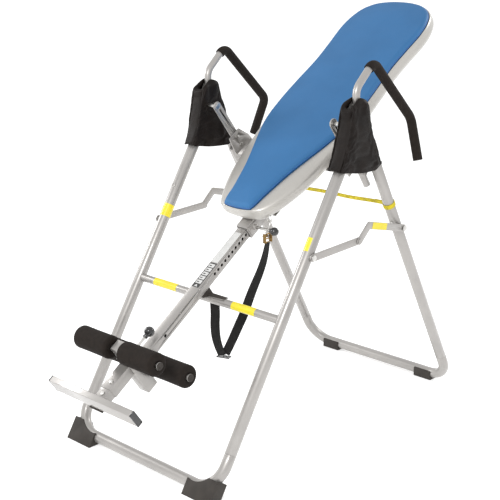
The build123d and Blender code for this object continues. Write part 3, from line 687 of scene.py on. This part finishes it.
def cover_mesh(side):
    """Sewn nylon tent: gathered at the top round the handle, loose folds down to an open hem."""
    verts = []
    seed = 11.0 if side < 0 else 47.0
    for i in range(RISE_STEPS + 1):
        t = i / RISE_STEPS                     # 0 at the hem, 1 at the gathered neck
        front = HEM_Y[0] + (NECK_Y[0] - HEM_Y[0]) * t ** 0.85
        back = HEM_Y[1] + (NECK_Y[1] - HEM_Y[1]) * t ** 0.95
        half_x = COVER_HALF * (1 - 0.02 * t - 0.25 * max(0.0, t - 0.95) / 0.05)
        for k in range(HEM_STEPS):
            x, y = perimeter((front + back) / 2, (back - front) / 2, half_x, k / HEM_STEPS)
            bottom = low_z(y) + 4
            top = NECK_TOP - 22 * abs((y - NECK_MID) / 48) ** 1.5
            z = bottom + (top - bottom) * t
            place = Vector((x * 22, y / 46, z / 95 + seed))
            fold = noise.noise(place) * 0.6 + 0.4 * noise.noise(place * 2.3 + Vector((5, 1, 2)))
            ripple = math.sin((y + 60 * x) / 9.0 + seed + 3.0 * noise.noise(place * 0.7))
            gather = max(0.0, t - 0.72) / 0.28
            loose = 0.0045 * (1 - 0.35 * t)
            crease = 0.0032 * abs(math.sin((z - 1.25 * y) / 58 + seed)) - 0.0016
            push = fold * loose + crease + ripple * (0.0004 + 0.0026 * gather)
            push = max(push, DEEPEST_PUSH)
            out = Vector((x / half_x, (y - (front + back) / 2) / ((back - front) / 2), 0))
            out = out.normalized() * push
            verts.append(Vector((side * LEG_X + x + out.x, Y0 + y / 1000 + out.y, z / 1000)))
    rim = HEM_STEPS
    outer_count = len(verts)
    centre = Vector((side * LEG_X, Y0 + 0.640, 1.170))
    for shrink, lift in NECK_TUCKS:
        for k in range(rim):
            p = verts[outer_count - rim + k]
            verts.append(Vector((centre.x + (p.x - centre.x) * shrink,
                                 centre.y + (p.y - centre.y) * shrink, p.z + lift)))
    faces = grid_faces(len(verts) // rim, rim)
    return verts, faces


def simulate_drape(made, pinned, frames=18):
    """Lets the cloth settle under gravity for a moment, with the neck and hem held."""
    group = made.vertex_groups.new(name="hold")
    for index, weight in pinned.items():
        group.add([index], weight, "REPLACE")
    cloth = made.modifiers.new("cloth", "CLOTH")
    cloth.settings.quality = 5
    cloth.settings.mass = 0.15
    cloth.settings.tension_stiffness = 12
    cloth.settings.bending_stiffness = 0.35
    cloth.settings.shrink_min = -0.035
    cloth.settings.vertex_group_mass = "hold"
    cloth.point_cache.frame_start, cloth.point_cache.frame_end = 1, frames
    scene = bpy.context.scene
    for number in range(1, frames + 1):
        scene.frame_set(number)
    depsgraph = bpy.context.evaluated_depsgraph_get()
    settled = made.evaluated_get(depsgraph)
    shape = [v.co.copy() for v in settled.data.vertices]
    made.modifiers.remove(cloth)
    reach = 0.012
    for vertex, place in zip(made.data.vertices, shape):
        move = place - vertex.co
        if move.length > reach:
            move = move.normalized() * reach
        vertex.co = vertex.co + move
    scene.frame_set(1)
    made.data.update()


def covers():
    for letter, side in SIDES:
        verts, faces = cover_mesh(side)
        made = piece("cover_" + letter, verts, faces, NYLON, None,
                     replaces=["hinge_cover_" + letter])
        held = {}
        for i, v in enumerate(made.data.vertices):
            height = (v.co.z - COVER_FOOT) / COVER_TALL
            if height > NECK_HELD or v.co.z < HEM_HELD:
                held[i] = 1.0
            elif abs(v.co.x - side * LEG_X) > SIDE_OUT:
                held[i] = SIDE_HELD
        simulate_drape(made, held)
        thick = made.modifiers.new("thickness", "SOLIDIFY")
        thick.thickness, thick.offset = 0.0014, 0
        smooth = made.modifiers.new("smooth", "SUBSURF")
        smooth.levels = smooth.render_levels = 1
        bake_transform(made)


# ---- yellow tie, labels and small metal ----------------------------------------------------------
TIE_UP = 0.873


def tie_strap():
    """Yellow webbing between the rear legs, folded round each leg and stitched."""
    centre = along(REAR_Y, TIE_UP)
    leg_way = (along(REAR_Y, 1.0) - along(REAR_Y, 0.5)).normalized()
    across = Vector((1, 0, 0))
    out = leg_way.cross(across).normalized()
    wide, thick, loop_r = 0.017, 0.0022, LEG_R + 0.0016
    section = rounded_strip(wide, thick)
    parts = []
    span = LEG_X - LEG_R - 0.004
    steps = 40
    line = []
    for k in range(steps + 1):
        t = -1 + 2 * k / steps
        line.append(centre + across * span * t + out * 0.0016 * math.sin(9 * t)
                    + leg_way * (-0.004 * (1 - t * t)))
    parts.append(sweep(line, section, up_hint=leg_way))
    for side in (-1, 1):
        hub = centre + across * side * LEG_X
        ring = arc_points(hub, across, out, loop_r, 0, 2 * math.pi * 35 / 36, 35)
        parts.append(sweep(ring, section, up_hint=leg_way, closed=True))
        tail_start = hub - across * side * (loop_r - 0.002)
        tail = [tail_start + out * 0.0026 - across * side * t for t in (0.0, 0.012, 0.026, 0.040)]
        parts.append(sweep(tail, section, up_hint=leg_way))
    made = join("tie_webbing", parts, YELLOW_WEB, "rear_frame",
                replaces=["tie_strap"])
    stitches = []
    for side in (-1, 1):
        for col in range(3):
            for row in (-1, 1):
                p = centre + across * side * (span - 0.014 - 0.008 * col) + leg_way * 0.005 * row
                p = p + out * 0.0048
                stitches.append(sweep([p - across * 0.002, p, p + across * 0.002],
                                      circle(0.0004, 6), up_hint=leg_way))
    join("tie_stitching", stitches, YELLOW_WEB, "rear_frame")


def tube_band(name, start, axis, radius, length, material, body, sweep_angle=2 * math.pi,
              face=Vector((0, -1, 0))):
    """Thin label wrapped on a tube, over sweep_angle centred on a facing direction."""
    axis = axis.normalized()
    face = (face - axis * face.dot(axis)).normalized()
    side = axis.cross(face)
    steps, r0, r1 = 40, radius + 0.00005, radius + 0.00045
    verts, faces = [], []
    for k in range(steps + 1):
        a = -sweep_angle / 2 + sweep_angle * k / steps
        way = face * math.cos(a) + side * math.sin(a)
        for r, t in ((r0, 0), (r1, 0.0004), (r1, length - 0.0004), (r0, length)):
            verts.append(start + way * r + axis * t)
    for k in range(steps):
        for j in range(4):
            m = (j + 1) % 4
            faces.append((k * 4 + j, k * 4 + m, k * 4 + 4 + m, k * 4 + 4 + j))
    faces += [(0, 1, 2, 3), tuple(steps * 4 + j for j in range(4))]
    return sharp(piece(name, verts, faces, material, body))


def flat_patch(name, corners, normal, material, body, thick=0.0005):
    """Thin flat patch standing on a surface, from its corners."""
    top = [c + normal * thick for c in corners]
    n = len(corners)
    verts = list(corners) + top
    faces = [tuple(range(n)), tuple(range(n, 2 * n))]
    faces += [(k, (k + 1) % n, n + (k + 1) % n, n + k) for k in range(n)]
    return sharp(piece(name, verts, faces, material, body, smooth=False))


LINK_KINK, LINK_REAR = (696, 749), (890.7, 702)   # layout y and z
LINK_FACE_X = 0.37145                             # just off the link's outer face
LINK_LABEL = (0.018, 0.098, 0.0115)               # start, end, half height


def link_label(letter, side):
    """Yellow label on the outer face of the rear side link, past its kink."""
    kink, end = lay(0, *LINK_KINK), lay(0, *LINK_REAR)
    way = (end - kink).normalized()
    up = Vector((1, 0, 0)).cross(way)
    outer = Vector((side * LINK_FACE_X, 0, 0))
    near, far, half = LINK_LABEL
    corners = [kink + outer + way * t + up * w
               for t, w in ((near, -half), (far, -half), (far, half), (near, half))]
    flat_patch("link_label_" + letter, corners, Vector((side, 0, 0)), YELLOW,
               "link_rear_" + letter)


LEG_BAND_UP, LEG_BAND_LONG = 0.803, 0.046
CROSSBAR_R = 0.014
BAR_LABELS = ((-0.255, 0.115), (0.125, 0.105))    # left end and width


def labels():
    """Blank yellow labels on the front legs, the rear side links and the crossbar."""
    for letter, side in SIDES:
        way = (along(Y0, 1.0, side * LEG_X) - along(Y0, 0.0, side * LEG_X)).normalized()
        start = along(Y0, LEG_BAND_UP, side * LEG_X)
        turn = 2 * math.pi if side < 0 else 2.1
        face = Vector((0 if side < 0 else -0.5, -1, 0))
        tube_band("leg_band_" + letter, start, way, LEG_R, LEG_BAND_LONG, YELLOW, "front_frame",
                  turn, face)
        link_label(letter, side)
    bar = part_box("crossbar")
    y, z = (bar[0].y + bar[1].y) / 2, (bar[0].z + bar[1].z) / 2
    for number, (x, width) in enumerate(BAR_LABELS):
        tube_band(f"bar_label_{number}", Vector((x, y, z)), Vector((1, 0, 0)), CROSSBAR_R, width,
                  YELLOW, "front_frame", 2.6, Vector((0, -1, 0.8)))


def shaft_scale():
    """Height scale on top of the shaft: a long pale label, then a black one with pale cells."""
    top = SHAFT_N + SHAFT / 2 + 0.00005
    normal = bed(0, 0, 1) - bed(0, 0, 0)

    def patch(name, x0, x1, u0, u1, material, lift=0.0, thick=0.0004):
        corners = [bed(x, u, top + lift) for x, u in ((x0, u0), (x1, u0), (x1, u1), (x0, u1))]
        flat_patch(name, corners, normal, material, "shaft", thick)

    patch("shaft_label", -0.0150, 0.0150, -0.402, -0.262, WHITE)
    patch("scale_label", -0.0155, 0.0155, -0.514, -0.405, INK)
    first_cell, pitch = -0.4975, 0.0182
    for k in range(5):
        u = first_cell + pitch * k
        patch(f"scale_cell_{k}", -0.0125, 0.0125, u, u + 0.0145, WHITE, 0.0004, 0.0002)
        patch(f"scale_tick_{k}", -0.0090, 0.0015, u + 0.0050, u + 0.0085, INK, 0.0006, 0.0002)
    corners = [bed(x, u, top + 0.0004) for x, u in
               ((-0.008, -0.511), (0.008, -0.511), (0.0, -0.501))]
    flat_patch("scale_arrow", corners, normal, WHITE, "shaft", 0.0002)


def wire_ring(name, centre, a, b, radius, wire, body):
    """Closed ring of round wire in the plane of a and b."""
    ring = arc_points(centre, a, b, radius, 0.0, 2 * math.pi, 36)[:-1]
    verts, faces = sweep(ring, circle(wire, 10), up_hint=a.cross(b), closed=True)
    piece(name, verts, faces, STEEL, body)


def small_metal():
    x, y = Vector((1, 0, 0)), Vector((0, 1, 0))
    way = (along(Y0, 1.0) - along(Y0, 0.0)).normalized()
    wire_ring("leg_ring_L", along(Y0, 0.93, -LEG_X) - y * 0.024, x, way, 0.008, 0.0011,
              "front_frame")
    rear = (along(REAR_Y, 1.0) - along(REAR_Y, 0.0)).normalized()
    wire_ring("leg_ring_R", along(REAR_Y, 0.79, LEG_X) - y * 0.024, x, rear, 0.009, 0.0012,
              "rear_frame")


def buckle():
    """Cam buckle with its curved plate, and its hook."""
    top = lay(90, 503, 676)
    y, z = Vector((0, 1, 0)), Vector((0, 0, 1))
    across = Vector((math.cos(TWIST_TOP), math.sin(TWIST_TOP), 0))
    through = z.cross(across)
    parts = []
    half, high, bar = 0.0165, 0.032, 0.0019
    for k in (-1, 1):
        side_line = [top + across * k * half + z * t for t in (0.0, high / 2, high)]
        parts.append(sweep(side_line, [(0.0015, 0.006), (-0.0015, 0.006), (-0.0015, -0.006),
                                       (0.0015, -0.006)], up_hint=across))
    for t in (0.002, 0.014, high - 0.002):
        line = [top + z * t + across * half * k for k in (-1, -0.5, 0, 0.5, 1)]
        parts.append(sweep(line, circle(bar, 12), up_hint=z))
    plate = [top + z * (0.018 + 0.0006 * k) + through * (0.004 + 0.0011 * k) for k in range(9)]
    parts.append(sweep(plate, rounded_strip(0.028, 0.0016), up_hint=across))
    join("buckle_body", parts, BRASS, "bed", replaces=["tether_buckle"])
    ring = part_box("tether_ring")
    hook_low = top + z * (high + 0.002)
    hook_high = Vector((hook_low.x, (ring[0].y + ring[1].y) / 2 - 0.012, ring[0].z + 0.005))
    line = [hook_low - across * 0.010, hook_low - across * 0.009 + z * 0.006,
            hook_low + z * 0.012, hook_high - z * 0.004, hook_high + z * 0.002,
            hook_high + y * 0.004 + z * 0.003]
    verts, faces = sweep(line, circle(0.0017, 10), up_hint=y)
    piece("buckle_hook", verts, faces, STEEL, "bed")


def slider():
    """Three-bar slide where the two lengths of webbing meet."""
    low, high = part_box("tether_slider")
    centre = (low + high) / 2
    across = Vector((math.cos(TWIST_LOW), math.sin(TWIST_LOW), 0))
    deep = Vector((-across.y, across.x, 0))
    parts = []
    for t in (-0.010, 0.0, 0.010):
        line = [centre + deep * t + across * 0.022 * k for k in (-1, -0.5, 0, 0.5, 1)]
        parts.append(sweep(line, circle(0.0019, 10), up_hint=Vector((0, 0, 1))))
    for k in (-1, 1):
        line = [centre + across * 0.022 * k + deep * t for t in (-0.011, 0.0, 0.011)]
        parts.append(sweep(line, circle(0.0021, 10), up_hint=Vector((0, 0, 1))))
    join("tether_slide", parts, PLASTIC, "front_frame",
         replaces=["tether_slider"])


# ---- making -------------------------------------------------------------------------------------
camera()
slider()
buckle()
tethers()
studio()
finish_cad_nodes()
cushion()
shell()
rollers()
covers()
tie_strap()
labels()
shaft_scale()
small_metal()
